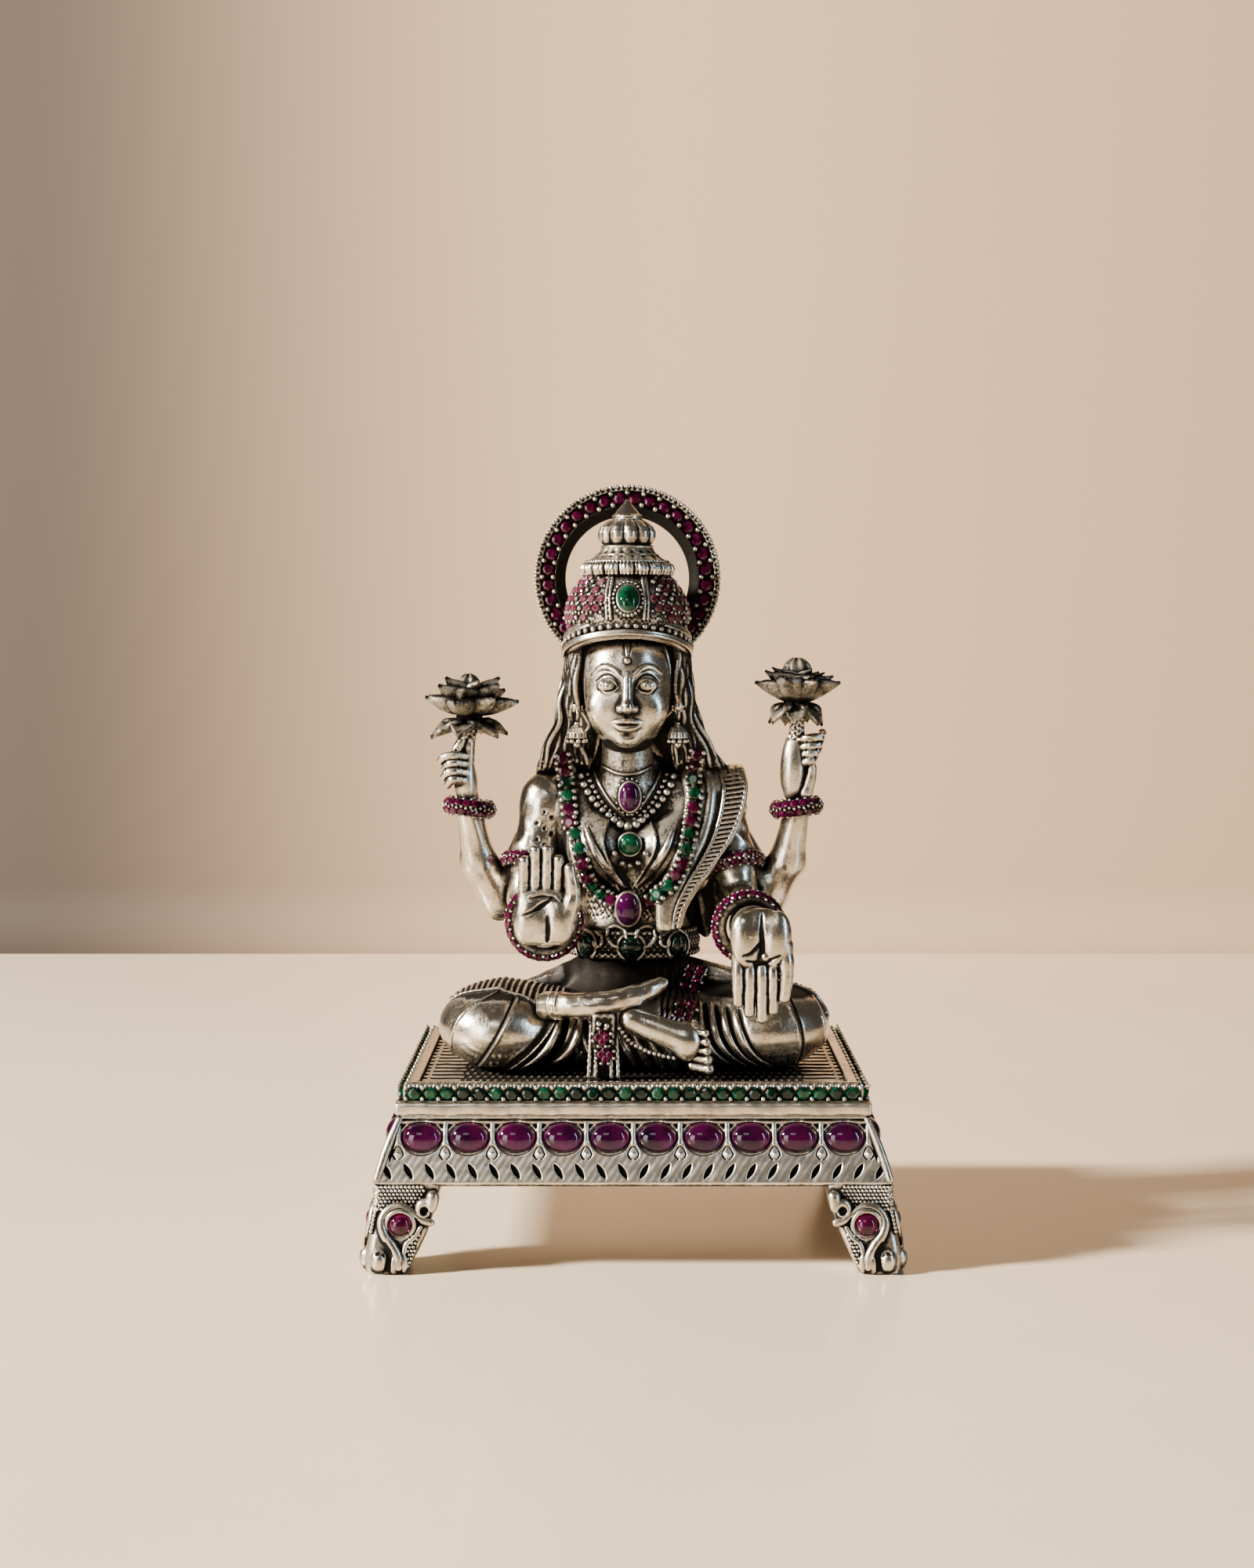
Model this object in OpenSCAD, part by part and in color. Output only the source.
// Seated four-armed deity statue on a four-legged stool, an assembly of castings and set stones.
// Millimetres, +Z up, the figure faces -Y, and the origin is on the floor under the stool's centre.
// "right" and "left" are the deity's own right (-X) and left (+X).

/* [Stool] */
// Width of the stool's top slab
slab_w = 79.4; // [66:0.2:96]
// Depth of the stool's top slab
slab_d = 59.4; // [49:0.2:72]
// Thickness of the top slab
slab_t = 2.2; // [1.6:0.1:3]
// Height of the rail that carries the row of round stones
rail_h = 3.0; // [2.8:0.1:3.6]
// How far the rail stands in from the slab's edge
rail_inset = 0.6; // [0.3:0.1:1.2]
// Width of the rail's solid border, seen from above
rail_border = 5.2; // [4:0.1:6.2]
// Depth of the sheet that is let into the rail, below the rail's top
sheet_sink = 0.5; // [0.3:0.1:0.8]
// Height of the flared apron under the slab
apron_h = 10.8; // [9:0.1:13]
// How far the apron spreads on each side, from top to bottom
apron_flare = 3.8; // [2:0.1:5]
// Wall of the apron panels, measured level
apron_wall = 2.4; // [1.8:0.1:3]
// How far the apron's top edge stands in from the slab's edge
apron_inset = 0.7; // [0.3:0.1:1.2]
// Height of the legs, from the floor to the apron
leg_h = 14.6; // [12:0.1:17.6]
// Width of a leg where it meets the apron
leg_top_w = 10.8; // [9:0.1:12.8]
// Width of a leg's foot
leg_foot_w = 6.2; // [5.2:0.1:7.4]
// How far a foot stands outside the apron's lower corner
leg_kick = 1.8; // [0.5:0.1:2.4]

/* [Stones] */
// Long axis of the oval cabochons on the apron
oval_w = 6.8; // [5.6:0.1:8]
// Short axis of the oval cabochons on the apron
oval_h = 5.2; // [4.4:0.1:5.8]
// Rise of an oval cabochon above its girdle
oval_rise = 1.9; // [1.2:0.1:2.4]
// Gap between neighbouring ovals
oval_gap = 1.0; // [0.6:0.1:2]
// Diameter of the round stones in the rail
round_d = 2.3; // [1.9:0.1:2.7]
// Gap between neighbouring round stones
round_gap = 0.4; // [0.3:0.05:0.8]
// Diameter of the cabochons in the legs' eyes
eye_d = 4.0; // [3.3:0.1:4.8]
// Room between a stone and its seat
stone_fit = 0.05; // [0.03:0.01:0.1]

/* [Figure] */
// Size of the figure against its drawn size, which is 101.6 mm from seat to halo top
figure_scale = 1.0; // [0.8:0.05:1.2]
// How far the head, crown and halo stand left of the stool's centre line
head_shift = 1.0; // [0:0.1:2]
// Outer radius of the halo
halo_r = 16.8; // [14:0.1:20]
// Width of the halo's band, in the plane of its face
halo_band = 5.7; // [4.6:0.1:6.8]
// Thickness of the halo's plate
halo_t = 3.0; // [2:0.1:4]
// Radius of the crown at its rim
crown_r = 11.3; // [10.6:0.1:12]
// Number of stones in the halo
halo_stone_count = 22; // [16:1:26]

/* [Fixings] */
// Diameter of the screws that hold the figure on the stool
screw_d = 3.0; // [2.5:0.5:3.5]
// Length of screw above the slab's underside
screw_l = 11.0; // [8:0.5:13]
// Distance between the two screws
screw_spacing = 22.0; // [16:1:26]
// Room around a screw's shank
screw_fit = 0.2; // [0.1:0.05:0.4]

/* [Hidden] */

silver = "silver";
dark_silver = "dimgray";
ruby = "mediumvioletred";
emerald = "darkgreen";
amethyst = "purple";

// Levels of the stool, from the floor up.
slab_z = leg_h + apron_h;
rail_z = slab_z + slab_t;
seat_z = rail_z + rail_h;
sheet_t = rail_h - sheet_sink;

// Plan sizes that follow from the slab.
rail_w = slab_w - 2 * rail_inset;
rail_d = slab_d - 2 * rail_inset;
sheet_w = rail_w - 2 * rail_border;
sheet_d = rail_d - 2 * rail_border;
apron_w = slab_w - 2 * apron_inset;
apron_d = slab_d - 2 * apron_inset;
apron_slope = atan(apron_flare / apron_h);
channel_depth = round_d * 0.35;

// ---------------------------------------------------------------- shared shapes

// A ball, the end of every limb.
module ball(p, r, fn = 14) translate(p) sphere(r, $fn = fn);

// A round limb between two balls.
module limb(p, q, rp, rq, fn = 14) hull() {
  ball(p, rp, fn);
  ball(q, rq, fn);
}

// Limbs joined end to end, one radius for each point.
module limb_chain(points, radii, fn = 12)
  for (i = [0 : len(points) - 2])
    limb(points[i], points[i + 1], radii[i], radii[i + 1], fn);

// An egg of three radii, turned in place.
module egg(p, radii, turn = [0, 0, 0], fn = 20)
  translate(p) rotate(turn) scale(radii) sphere(1, $fn = fn);

// Stones that follow a curve through four control points, count of them.
function bezier(a, b, c, d, t) =
  pow(1 - t, 3) * a + 3 * pow(1 - t, 2) * t * b + 3 * (1 - t) * t * t * c + pow(t, 3) * d;

function curve(c, count) = [for (i = [0 : count - 1]) bezier(c[0], c[1], c[2], c[3], i / (count - 1))];

// A stone domed front and back, its girdle on z = 0, for a seat that is open behind it.
module double_cabochon(w, h, rise) scale([w / 2, h / 2, rise]) sphere(1, $fn = 48);

// A domed stone on a flat back: the girdle stands on z = 0 and the dome rises from it.
module cabochon(w, h, rise, fn = 64) intersection() {
  scale([w / 2, h / 2, rise]) sphere(1, $fn = fn);
  translate([-w, -h, 0]) cube([2 * w, 2 * h, 2 * rise]);
}

// A round cut stone lying on z = 0, with a flat table.
module round_stone(d) rotate_extrude($fn = 24)
  polygon([[0, 0], [d / 2, 0], [d / 2, d * 0.22], [d * 0.3, d * 0.42], [0, d * 0.42]]);

// Puts a figure piece, drawn from the seat's centre, on the seat.
module on_seat() translate([0, 0, seat_z]) scale(figure_scale) children();

// Puts a piece of the head, drawn on the head's own centre line, over the shoulders.
module on_head() translate([-head_shift, 0, 0]) children();

// ---------------------------------------------------------------- stool

module figure_screw_places()
  for (side = [-1, 1]) translate([side * screw_spacing / 2, 4, 0]) children();

module screw_holes(z, length) figure_screw_places()
  translate([0, 0, z]) cylinder(d = screw_d + 2 * screw_fit, h = length, $fn = 32);

module seat_slab() color(silver) difference() {
  translate([-slab_w / 2, -slab_d / 2, slab_z]) cube([slab_w, slab_d, slab_t]);
  screw_holes(slab_z - 1, slab_t + 2);
}

// A square ring with a channel round its outside, in which the round stones stand.
module stone_rail() color(silver) difference() {
  translate([-rail_w / 2, -rail_d / 2, rail_z]) cube([rail_w, rail_d, rail_h]);
  translate([-sheet_w / 2, -sheet_d / 2, rail_z - 1]) cube([sheet_w, sheet_d, rail_h + 2]);
  channel_h = round_d + 2 * stone_fit;
  translate([0, 0, rail_z + (rail_h - channel_h) / 2]) difference() {
    translate([-rail_w / 2 - 1, -rail_d / 2 - 1, 0]) cube([rail_w + 2, rail_d + 2, channel_h]);
    translate([-rail_w / 2 + channel_depth, -rail_d / 2 + channel_depth, -1])
      cube([rail_w - 2 * channel_depth, rail_d - 2 * channel_depth, channel_h + 2]);
  }
}

module seat_sheet() color(dark_silver) difference() {
  translate([-sheet_w / 2 + stone_fit, -sheet_d / 2 + stone_fit, rail_z])
    cube([sheet_w - 2 * stone_fit, sheet_d - 2 * stone_fit, sheet_t]);
  screw_holes(rail_z - 1, sheet_t + 2);
}

// One flared wall of the apron with mitred ends, centred on -Y. width and depth are the top's.
module apron_wall_solid(width, depth) {
  x1 = width / 2;
  y1 = depth / 2;
  x0 = x1 + apron_flare;
  y0 = y1 + apron_flare;
  t = apron_wall;
  polyhedron(
    points = [
      [-x0, -y0, 0], [x0, -y0, 0], [x0 - t, -y0 + t, 0], [-x0 + t, -y0 + t, 0],
      [-x1, -y1, apron_h], [x1, -y1, apron_h], [x1 - t, -y1 + t, apron_h], [-x1 + t, -y1 + t, apron_h]
    ],
    faces = [[0, 1, 2, 3], [7, 6, 5, 4], [0, 4, 5, 1], [1, 5, 6, 2], [2, 6, 7, 3], [3, 7, 4, 0]]
  );
}

// Places for count children along an apron wall, lying on its outer face, z outwards.
oval_pitch = oval_w + oval_gap;
oval_centre = oval_h / 2 + 0.9;
// Ovals that fit a wall whose top edge has this width, at the level of their centres.
function oval_count(width) =
  floor((width + 2 * oval_centre * sin(apron_slope) - oval_gap) / oval_pitch);

module on_apron_face(depth, down) {
  translate([0, -depth / 2, apron_h])
    rotate([90 - apron_slope, 0, 0]) translate([0, -down, 0]) children();
}

module oval_places(width, depth) {
  count = oval_count(width);
  for (i = [0 : count - 1])
    on_apron_face(depth, oval_centre)
      translate([(i - (count - 1) / 2) * oval_pitch, 0, 0]) children();
}

// Slanted slots along the lower border, leaning towards the middle from both sides.
notch_pitch = 3.6;
notch_depth = 0.6;
module notches(width, depth) {
  count = floor((width - 2) / notch_pitch / 2) * 2;
  for (i = [0 : count - 1]) {
    x = (i - (count - 1) / 2) * notch_pitch;
    on_apron_face(depth, apron_h / cos(apron_slope) - 1.9)
      translate([x, 0, -notch_depth]) rotate([0, 0, x < 0 ? 30 : -30])
        translate([-0.4, -1.1, 0]) cube([0.8, 2.2, notch_depth + 1]);
  }
}

girdle_sink = 0.4;
module apron_side(width, depth) translate([0, 0, leg_h]) difference() {
  apron_wall_solid(width, depth);
  oval_places(width, depth) translate([0, 0, -apron_wall])
    scale([oval_w / 2 + stone_fit, oval_h / 2 + stone_fit, 1]) cylinder(r = 1, h = apron_wall + 1, $fn = 40);
  notches(width, depth);
}

module apron_front() color(silver) apron_side(apron_w, apron_d);
module apron_back() color(silver) rotate([0, 0, 180]) apron_side(apron_w, apron_d);
module apron_right() color(silver) rotate([0, 0, -90]) apron_side(apron_d, apron_w);
module apron_left() color(silver) rotate([0, 0, 90]) apron_side(apron_d, apron_w);

module wall_ovals(width, depth) translate([0, 0, leg_h])
  oval_places(width, depth) translate([0, 0, -girdle_sink]) double_cabochon(oval_w, oval_h, oval_rise);

module apron_oval_stones() color(amethyst) {
  wall_ovals(apron_w, apron_d);
  rotate([0, 0, 180]) wall_ovals(apron_w, apron_d);
  rotate([0, 0, -90]) wall_ovals(apron_d, apron_w);
  rotate([0, 0, 90]) wall_ovals(apron_d, apron_w);
}

// The row of round stones on one side of the rail, standing in the channel.
round_pitch = round_d + round_gap;
module rail_row(width, depth) {
  count = floor((width - 2 * channel_depth) / round_pitch);
  for (i = [0 : count - 1])
    translate([(i - (count - 1) / 2) * round_pitch, -depth / 2 + channel_depth, rail_z + rail_h / 2])
      rotate([90, 0, 0]) round_stone(round_d);
}

module rail_round_stones() color(emerald) {
  rail_row(rail_w, rail_d);
  rotate([0, 0, 180]) rail_row(rail_w, rail_d);
  side = rail_d - 2 * round_pitch;
  rotate([0, 0, -90]) rail_row(side, rail_w);
  rotate([0, 0, 90]) rail_row(side, rail_w);
}

// A leg is a beast's head that looks down and out: two cheeks, each with an eye, and a curled snout.
// It is drawn for the +X -Y corner, with its outer top corner at the origin, hanging from z = 0.
eye_drop = leg_h * 0.45;
eye_sink = 0.4;
eye_rise = eye_d * 0.36;
eye_seat_depth = eye_sink + eye_rise + stone_fit;

module leg_solid() difference() {
  hull() {
    translate([-leg_top_w, 0, -2.4]) cube([leg_top_w, leg_top_w, 2.4]);
    translate([leg_kick - leg_foot_w, -leg_kick, -leg_h]) cube([leg_foot_w, leg_foot_w, 1.2]);
  }
  leg_eye_places() translate([0, 0, -eye_seat_depth])
    cylinder(d = eye_d + 2 * stone_fit, h = eye_seat_depth + 2, $fn = 40);
}

// The seats of a leg's two eyes, z out of the face.
eye_inset = leg_top_w * 0.4;
leg_lean = atan(leg_kick / (leg_h - 2.4 - 1.2));
module leg_eye_places() {
  out = leg_kick * (eye_drop - 2.4) / (leg_h - 3.6);
  translate([-eye_inset, -out, -eye_drop]) rotate([90 - leg_lean, 0, 0]) children();
  translate([out, eye_inset, -eye_drop]) rotate([90 - leg_lean, 0, 90]) children();
}

module at_corner(sx, sy)
  mirror([sx < 0 ? 1 : 0, 0, 0]) mirror([0, sy > 0 ? 1 : 0, 0])
    translate([apron_w / 2 + apron_flare, -apron_d / 2 - apron_flare, leg_h]) children();

module leg_front_right() color(silver) at_corner(-1, -1) leg_solid();
module leg_front_left() color(silver) at_corner(1, -1) leg_solid();
module leg_back_right() color(silver) at_corner(-1, 1) leg_solid();
module leg_back_left() color(silver) at_corner(1, 1) leg_solid();

module leg_eye_stones() color(ruby)
  for (sx = [-1, 1], sy = [-1, 1])
    at_corner(sx, sy) leg_eye_places() translate([0, 0, -eye_sink]) double_cabochon(eye_d, eye_d, eye_rise);

// Two pan-head screws come up through the slab into the figure's lap.
head_t = 1.8;
module figure_screws() color(dark_silver) figure_screw_places() {
  translate([0, 0, slab_z]) cylinder(d = screw_d, h = screw_l, $fn = 32);
  translate([0, 0, slab_z - head_t]) cylinder(d = screw_d * 1.9, h = head_t, $fn = 32);
}

// ---------------------------------------------------------------- figure solids
// Drawn from the seat's centre. A node cuts away what stands in front of it in this order:
// torso, lap, knees, feet, head, arms, hands, then what is worn.

shoulder = [14.2, 2.5, 43.5];
rear_elbow = [25.2, 3.5, 27.0];
rear_wrist = [28.9, -0.5, 42.6];
rear_palm = [30.0, -1.2, 50.0];
front_elbow = [19.2, -2.5, 27.0];
right_front_wrist = [-15.2, -14.5, 25.5];
right_front_palm = [-14.6, -19.6, 29.6];
left_front_wrist = [19.8, -17.5, 25.4];
left_front_palm = [21.2, -24.2, 20.6];
belt_z = 19.8;

function flip(p) = [-p.x, p.y, p.z];

module torso_solid() {
  hull() {
    egg([0, 3, 20.5], [11.6, 8.4, 5]);
    egg([0, 2.6, 26], [10.2, 7.6, 5]);
  }
  hull() {
    egg([0, 2.6, 26], [10.2, 7.6, 5]);
    egg([0, 2.4, 37], [13, 7.4, 7]);
  }
  hull() {
    egg([0, 2.4, 37], [13, 7.4, 7]);
    for (side = [-1, 1]) ball([side * 11.5, 2.8, 43.5], 5.2);
  }
  for (side = [-1, 1]) limb([side * 5.8, -3.2, 36.6], [side * 6.4, 0, 40], 4.6, 4.6);
  for (side = [-1, 1]) limb([side * 11.5, 2.8, 43.5], [side * 12, 2.8, 40], 5.2, 4.6);
  hull() {
    for (side = [-1, 1]) ball([side * 7 - head_shift / 2, 2.8, 45.5], 4);
    ball([-head_shift, 2.2, 50], 4.8);
  }
  limb([-head_shift, 2.2, 48], [-head_shift, 1.6, 56], 4.8, 4.5);
}

module lap_solid() intersection() {
  union() {
    hull() {
      egg([0, 4, 12], [15.5, 11, 8.5]);
      egg([0, 6, 4], [19, 12.5, 6]);
      egg([0, -9, 5], [14, 8, 5.5]);
    }
    limb([-10, 3, 10], [-20, -6, 8.5], 8, 8);
    limb([10, 3, 10], [20, -6, 8.5], 8, 8);
  }
  translate([-60, -60, sheet_t - rail_h]) cube([120, 120, 60]);
}

// The knee and folded shin under pleated cloth, for side = 1 on the deity's left.
module knee_solid(side) intersection() {
  union() {
    hull() {
      egg([side * 23.6, -9.5, 8.2], [11, 12, 8.6]);
      egg([side * 17, -12, 8.4], [10, 10, 8.6]);
    }
    limb([side * 20, -14.5, 5.5], [side * 9.5, -17.2, 4.8], 6.2, 5);
  }
  translate([-60, -60, sheet_t - rail_h]) cube([120, 120, 60]);
}

// The deity's right foot lies across the lap, and the left foot below it in front.
module right_foot_solid() {
  limb([-13.6, -19.5, 12], [-5, -21.2, 12.8], 2.6, 2.3);
  limb([-5, -21.2, 12.8], [1, -20.4, 14.6], 2.3, 1.9);
  limb([1, -20.4, 14.6], [5, -18.8, 16.4], 1.9, 1.3);
}

module left_foot_solid() {
  limb([-0.6, -22.2, 9.6], [5, -23.4, 7], 2.6, 2.6);
  limb([5, -23.4, 7], [10.6, -23.8, 5], 2.6, 2.9);
  limb([10.6, -23.8, 5.4], [12.8, -23.6, 2.6], 2.4, 1.6);
}

module arm_solid(points, radii) limb_chain(points, radii, 16);

module rear_arm_solid(side) arm_solid(
  [for (p = [shoulder, rear_elbow, rear_wrist]) [side * p.x, p.y, p.z]], [5, 4.4, 2.9]);

module right_front_arm_solid() arm_solid(
  [flip(shoulder), flip(front_elbow), right_front_wrist], [5.2, 4.4, 3.3]);

module left_front_arm_solid() arm_solid(
  [shoulder, front_elbow, left_front_wrist], [5.2, 4.4, 3.3]);

// A flat palm with four fingers and a thumb, fingers along +Z, palm towards -Y, its root at z = 0.
finger_x = [-3.6, -1.2, 1.2, 3.6];
finger_l = [4.8, 6.2, 6.4, 5.2];
module open_hand_solid() {
  hull() {
    ball([0, 1, 1.6], 2.9);
    for (x = [-3.1, 3.1]) ball([x, 0, 7.2], 1.8);
  }
  for (i = [0 : 3])
    limb([finger_x[i] * 0.86, -0.2, 8], [finger_x[i], -1, 8.6 + finger_l[i]], 1.3, 0.95, 12);
  limb([-3.6, -0.6, 2.6], [-4.2, -1.6, 7.4], 2.2, 1.3, 12);
}

// A hand that holds a stem upright, its wrist at the origin.
module holding_hand_solid() {
  limb([0, 0, 0], [0.4, -0.4, 7.4], 2.9, 3.4, 16);
  limb([0.4, -0.4, 7.4], [-1.4, -0.6, 13.2], 3.2, 1.7, 12);
  for (i = [0 : 2])
    limb([1.8, -2.2 + i * 1.6, 7.4], [3.6, -2.6 + i * 1.4, 9.4], 1.2, 1, 10);
  limb([-1, -2.4, 5.4], [1.4, -3.4, 9.2], 1.2, 1, 10);
}

module right_front_hand_solid() translate(right_front_palm - [0, 0, 7.2]) mirror([1, 0, 0]) open_hand_solid();

module left_front_hand_solid() translate(left_front_palm + [0, 0, 8.2])
  rotate([0, 180, 0]) rotate([0, 0, 0]) open_hand_solid();

module rear_hand_solid(side) translate([side * rear_wrist.x, rear_wrist.y, rear_wrist.z])
  mirror([side > 0 ? 0 : 1, 0, 0]) holding_hand_solid();

module head_solid() on_head() {
  hull() {
    egg([0, -1.4, 64], [8.2, 7.4, 8]);
    egg([0, -2.2, 57.8], [4.6, 4.6, 3.4]);
  }
  hull() {
    egg([0, 2.4, 69], [9.2, 9, 9.4]);
    egg([0, 2.4, 66], [8.8, 8.6, 8]);
  }
  hull() {
    ball([0, -7.6, 66], 1);
    ball([0, -9.4, 61.4], 1.3);
  }
  for (side = [-1, 1]) egg([side * 8.6, 0.6, 63.6], [1.4, 1.6, 3]);
}

module hair_solid() on_head() {
  hull() {
    egg([0, 5, 68], [10.4, 7.2, 8], fn = 14);
    egg([0, 6, 56], [11.6, 4.8, 8], fn = 14);
  }
  hull() {
    egg([0, 6, 56], [11.6, 4.8, 8], fn = 14);
    egg([0, 9.4, 42], [10.5, 3.4, 10], fn = 14);
  }
  for (side = [-1, 1]) {
    limb([side * 10.2, 2.4, 69], [side * 10.6, 1.8, 60], 1.6, 2);
    limb([side * 10.6, 1.8, 60], [side * 13.4, 2.6, 51], 2, 3);
  }
}

// Crown: a leaning band, a dome, a scalloped canopy, a ribbed bulb and a finial.
crown_lean = 12;
crown_y = 1.2;
module crown_axis(z) translate([0, crown_y, z]) children();

module crown_band_solid() on_head() crown_axis(72) rotate([crown_lean, 0, 0])
  rotate_extrude($fn = 36)
    polygon([[0, 0], [crown_r, 0], [crown_r + 0.5, 1.2], [crown_r, 2.2], [crown_r + 0.4, 4.6],
             [crown_r, 5.6], [0, 5.6]]);

module crown_dome_solid() on_head() crown_axis(76) rotate_extrude($fn = 36)
  polygon([[0, 0], [11.4, 0], [12, 1.6], [11.5, 3.6], [9.9, 6], [7.9, 8.3], [0, 8.3]]);

// ---------------------------------------------------------------- figure nodes

module figure_screw_cut() translate([0, 0, -seat_z / figure_scale]) scale(1 / figure_scale)
  screw_holes(rail_z, slab_z + screw_l + 0.6 - rail_z);

module torso() color(silver) on_seat() torso_solid();

module lap_drape() color(silver) on_seat() difference() {
  lap_solid();
  torso_solid();
  figure_screw_cut();
}

module knee(side) on_seat() difference() {
  knee_solid(side);
  lap_solid();
  torso_solid();
}

module right_knee() color(silver) knee(-1);
module left_knee() color(silver) knee(1);

module legs_cut() {
  lap_solid();
  knee_solid(-1);
  knee_solid(1);
}

module right_foot() color(silver) on_seat() difference() {
  right_foot_solid();
  legs_cut();
}

module left_foot() color(silver) on_seat() difference() {
  left_foot_solid();
  legs_cut();
  right_foot_solid();
}

// The pleated end of the cloth that falls between the feet.
module front_pleat() color(silver) on_seat() difference() {
  hull() {
    translate([-7.4, -22.4, sheet_t - rail_h]) cube([6.4, 2, 1]);
    translate([-5.6, -20.4, 8.6]) cube([3.8, 2, 1]);
    translate([-7.4, -16, sheet_t - rail_h]) cube([6.4, 1, 8]);
  }
  legs_cut();
  left_foot_solid();
  right_foot_solid();
}

module arm_node() on_seat() difference() {
  children(0);
  torso_solid();
  legs_cut();
  children(1);
}

module right_front_arm() color(silver) arm_node() {
  right_front_arm_solid();
  translate([0, 0, -50]) ball([0, 0, 0], 1);
}

module left_front_arm() color(silver) arm_node() {
  left_front_arm_solid();
  translate([0, 0, -50]) ball([0, 0, 0], 1);
}

module right_rear_arm() color(silver) arm_node() {
  rear_arm_solid(-1);
  right_front_arm_solid();
}

module left_rear_arm() color(silver) arm_node() {
  rear_arm_solid(1);
  left_front_arm_solid();
}

module right_front_hand() color(silver) arm_node() {
  right_front_hand_solid();
  right_front_arm_solid();
}

module left_front_hand() color(silver) arm_node() {
  left_front_hand_solid();
  left_front_arm_solid();
}

module right_rear_hand() color(silver) arm_node() {
  rear_hand_solid(-1);
  rear_arm_solid(-1);
}

module left_rear_hand() color(silver) arm_node() {
  rear_hand_solid(1);
  rear_arm_solid(1);
}

// A cloth band from the left shoulder to the belt, with a ribbed border.
sash_path = curve([[13.4, -0.5, 47.6], [14.4, -8, 40], [12, -9, 28], [7.4, -7.4, 20.6]], 8);
module sash_chain(first) for (i = [first : len(sash_path) - 2]) hull()
  for (k = [i, i + 1]) egg(sash_path[k], [2.2, 1.2, 1.4], fn = 10);

module shoulder_sash() color(silver) on_seat() difference() {
  union() {
    sash_chain(0);
    limb([13.4, -0.5, 47.6], [13, 8, 46], 1.5, 1.4, 10);
  }
  torso_solid();
  lap_solid();
  left_front_arm_solid();
  rear_arm_solid(1);
  hair_solid();
}

module belt_solid() translate([0, 3, belt_z]) scale([12.6, 9.4, 1]) cylinder(r = 1, h = 4.4, center = true, $fn = 36);
module belt() color(silver) on_seat() difference() {
  belt_solid();
  torso_solid();
  lap_solid();
  sash_chain(4);
}

// Stones on the front of the belt, on its own ellipse.
module belt_stones() color(emerald) on_seat()
  for (turn = [-38, 0, 38]) {
    x = 12.6 * sin(turn);
    y = 3 - 9.4 * cos(turn);
    translate([x, y, belt_z]) rotate([90, 0, atan2(x / pow(12.6, 2), (3 - y) / pow(9.4, 2))])
      translate([0, 0, 0.05]) cabochon(3, 3, 1);
  }

// A round bangle about a limb, its stones cast in; the limb runs through with room to spare.
module bangle(p, axis, r, wire, fn = 64) translate(p)
  rotate([0, acos(axis.z / norm(axis)), atan2(axis.y, axis.x)])
    rotate_extrude($fn = fn) translate([r, 0]) circle(wire, $fn = fn / 2);

bangle_wire = 1.35;
module right_rear_bangle() color(ruby) on_seat()
  bangle(flip(rear_wrist), flip(rear_wrist - rear_elbow), 4.45, bangle_wire);
module left_rear_bangle() color(ruby) on_seat()
  bangle(rear_wrist, rear_wrist - rear_elbow, 4.45, bangle_wire);

module worn_on_front(side) on_seat() difference() {
  children();
  torso_solid();
  legs_cut();
  if (side < 0) right_front_hand_solid();
  if (side > 0) left_front_hand_solid();
  if (side < 0) right_front_arm_solid();
  if (side > 0) left_front_arm_solid();
  rear_arm_solid(side);
}

module right_front_bangle() color(ruby) on_seat()
  bangle(right_front_wrist + [-0.2, 1.6, 0.2], right_front_wrist - flip(front_elbow), 5.4, bangle_wire);
module left_front_bangle() color(ruby) on_seat()
  bangle(left_front_wrist + [0, 1.6, 0], left_front_wrist - front_elbow, 5.4, bangle_wire);

armlet_z = 33.4;
module armlet(side) worn_on_front(side)
  bangle([side * 17.2, -0.4, armlet_z], [side * 5, -5, -16.5], 5.2, 1.3, 20);
module right_armlet() color(ruby) armlet(-1);
module left_armlet() color(ruby) armlet(1);

// A lotus: a cup of petals on a calyx and a stem; the stem stands in the hand.
module lotus_solid() {
  rotate_extrude($fn = 20)
    polygon([[0, -3], [1.5, -3], [2, -0.6], [3.4, 0.6], [2.6, 2.2], [4.4, 3.4], [5.6, 5.4], [3, 6.2], [0, 7.4]]);
  for (i = [0 : 7]) rotate([0, 0, i * 45]) hull() {
    ball([3, 0, 3], 0.9, 8);
    ball([6.6, 0, 6], 0.5, 8);
  }
}

module lotus(side) on_seat() difference() {
  translate([side * 28.8, rear_palm.y - 0.4, 59.2]) lotus_solid();
  rear_hand_solid(side);
}
module right_lotus() color(silver) lotus(-1);
module left_lotus() color(silver) lotus(1);

module head() color(silver) on_seat() difference() {
  head_solid();
  torso_solid();
}

module hair() color(dark_silver) on_seat() difference() {
  hair_solid();
  head_solid();
  torso_solid();
  rear_arm_solid(-1);
  rear_arm_solid(1);
  left_front_arm_solid();
  right_front_arm_solid();
}

module crown_band() color(silver) on_seat() difference() {
  crown_band_solid();
  head_solid();
  hair_solid();
}

module crown_dome() color(silver) on_seat() difference() {
  crown_dome_solid();
  crown_band_solid();
  head_solid();
  hair_solid();
}

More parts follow.
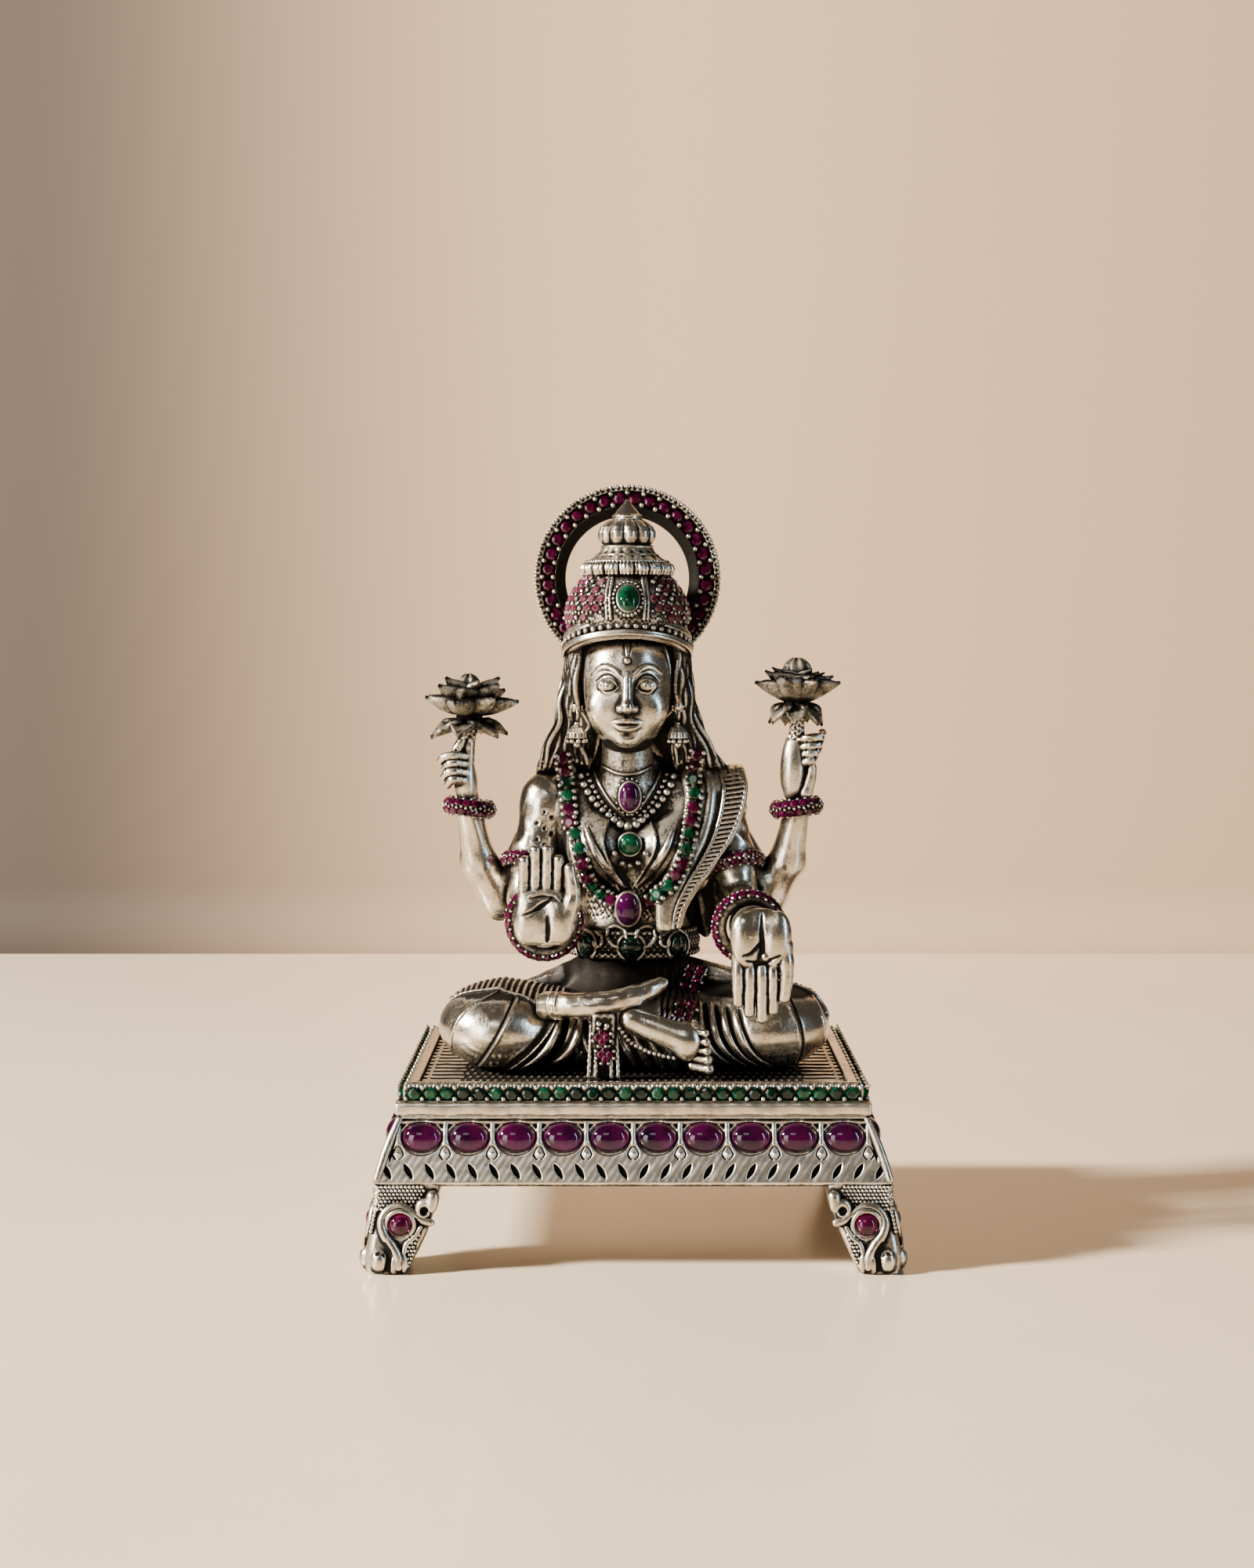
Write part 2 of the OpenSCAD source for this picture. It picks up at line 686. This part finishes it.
module crown_canopy() color(silver) on_seat() on_head() crown_axis(84.3) rotate_extrude($fn = 48)
  polygon([[0, 0], [7.2, 0], [8.2, 0.9], [8, 1.6], [6, 2.9], [4.8, 4], [4.6, 5.2], [0, 5.2]]);
module crown_bulb() color(silver) on_seat() on_head() crown_axis(89.5) rotate_extrude($fn = 48)
  polygon([[0, 0], [4, 0], [4.8, 0.9], [5.1, 2], [4.6, 3.4], [3.6, 4.4], [2.6, 5.1], [0, 5.1]]);
module crown_finial() color(silver) on_seat() on_head() crown_axis(94.6) rotate_extrude($fn = 40)
  polygon([[0, 0], [2.3, 0], [2.3, 0.5], [1.3, 1.9], [0.4, 3.6], [0, 3.6]]);

module crown_oval_stone() color(emerald) on_seat() on_head()
  translate([0, crown_y - 11.75, 79.1]) rotate([66, 0, 0]) cabochon(3.6, 5.4, 1.7);

// The halo: a plate ring with a sunk inner lip; its two tails run down to the crown's sides.
halo_y = 10.2;
halo_z = 84.4;
halo_lip = 1.7;
module halo_solid() on_head() translate([0, halo_y, halo_z]) rotate([-90, 0, 0]) {
  rotate([0, 0, 140]) rotate_extrude(angle = 260, $fn = 72) {
    translate([halo_r - halo_band, 1.2]) square([halo_lip, halo_t - 1.2]);
    translate([halo_r - halo_band + halo_lip, 0]) square([halo_band - halo_lip, halo_t]);
  }
  for (side = [-1, 1]) linear_extrude(halo_t)
    polygon([[side * (halo_r - 4.6) * 0.77, (halo_r - 4.6) * 0.64], [side * halo_r * 0.77, halo_r * 0.64],
             [side * 10.6, 13.6], [side * 8.4, 13.6]]);
}

module halo() color(dark_silver) on_seat() difference() {
  halo_solid();
  crown_dome_solid();
  crown_band_solid();
  hair_solid();
  head_solid();
}

module halo_stones() color(ruby) on_seat() on_head()
  for (i = [0 : halo_stone_count - 1]) {
    turn = -38 + 256 * i / (halo_stone_count - 1);
    r = halo_r - 2.4;
    translate([r * cos(turn), halo_y, halo_z + r * sin(turn)]) rotate([90, 0, 0]) round_stone(2.3);
  }

module earring(side) on_seat() on_head() difference() {
  union() {
    ball([side * 8.9, -1.6, 60], 1.1, 10);
    egg([side * 8.9, -1.8, 57.2], [1.7, 1.6, 1.6], fn = 12);
    ball([side * 8.9, -1.8, 54.9], 0.7, 10);
  }
  translate([head_shift, 0, 0]) {
    head_solid();
    hair_solid();
    torso_solid();
  }
}
module right_earring() color(silver) earring(-1);
module left_earring() color(silver) earring(1);

// Worn on the chest: each is cut flat where it lies on the torso.
module worn_on_chest() on_seat() difference() {
  children(0);
  torso_solid();
  hair_solid();
  lap_solid();
  if ($children > 1) children(1);
}

pearl_side = curve([[-7.6, -1.6, 50], [-6.8, -4.6, 46], [-4, -5.6, 42.6], [-0.6, -6.1, 40.6]], 8);
module pearl_necklace() color(silver) worn_on_chest() union() {
  limb_chain(pearl_side, [for (p = pearl_side) 0.9], 8);
  limb_chain([for (p = pearl_side) flip(p) - [head_shift, 0, 0]], [for (p = pearl_side) 0.9], 8);
}

module set_on_chest(p, w, h, rise, tilt) translate(p) rotate([90 + tilt, 0, 0]) cabochon(w, h, rise, 18);

module throat_pendant() color(amethyst) worn_on_chest()
  set_on_chest([-0.8, -5.0, 46.2], 3.6, 5.4, 2.3, -10);
module round_pendant() color(emerald) worn_on_chest()
  set_on_chest([-0.6, -5, 37.7], 4, 4, 3, 0);
module drop_stone() set_on_chest([0, -5.2, 26.9], 4.4, 5.6, 3, 8);
module drop_pendant() color(amethyst) worn_on_chest() drop_stone();

garland_side = curve([[-11.6, -2.2, 49.6], [-11.4, -8, 39], [-8.4, -8.4, 33], [-2.4, -7, 27.6]], 10);
module long_garland() color(ruby) worn_on_chest() {
  union() {
    limb_chain(garland_side, [for (p = garland_side) 1.3], 8);
    limb_chain([for (p = garland_side) flip(p)], [for (p = garland_side) 1.3], 8);
  }
  union() {
    drop_stone();
    sash_chain(0);
  }
}

// ---------------------------------------------------------------- the nodes

seat_slab();
stone_rail();
seat_sheet();
apron_front();
apron_back();
apron_right();
apron_left();
leg_front_right();
leg_front_left();
leg_back_right();
leg_back_left();
apron_oval_stones();
rail_round_stones();
leg_eye_stones();
figure_screws();
lap_drape();
right_knee();
left_knee();
right_foot();
left_foot();
front_pleat();
torso();
shoulder_sash();
belt();
belt_stones();
right_front_arm();
right_front_hand();
left_front_arm();
left_front_hand();
right_rear_arm();
right_rear_hand();
left_rear_arm();
left_rear_hand();
right_lotus();
left_lotus();
right_front_bangle();
left_front_bangle();
right_rear_bangle();
left_rear_bangle();
right_armlet();
left_armlet();
head();
hair();
right_earring();
left_earring();
crown_band();
crown_dome();
crown_canopy();
crown_bulb();
crown_finial();
crown_oval_stone();
halo();
halo_stones();
pearl_necklace();
throat_pendant();
round_pendant();
drop_pendant();
long_garland();
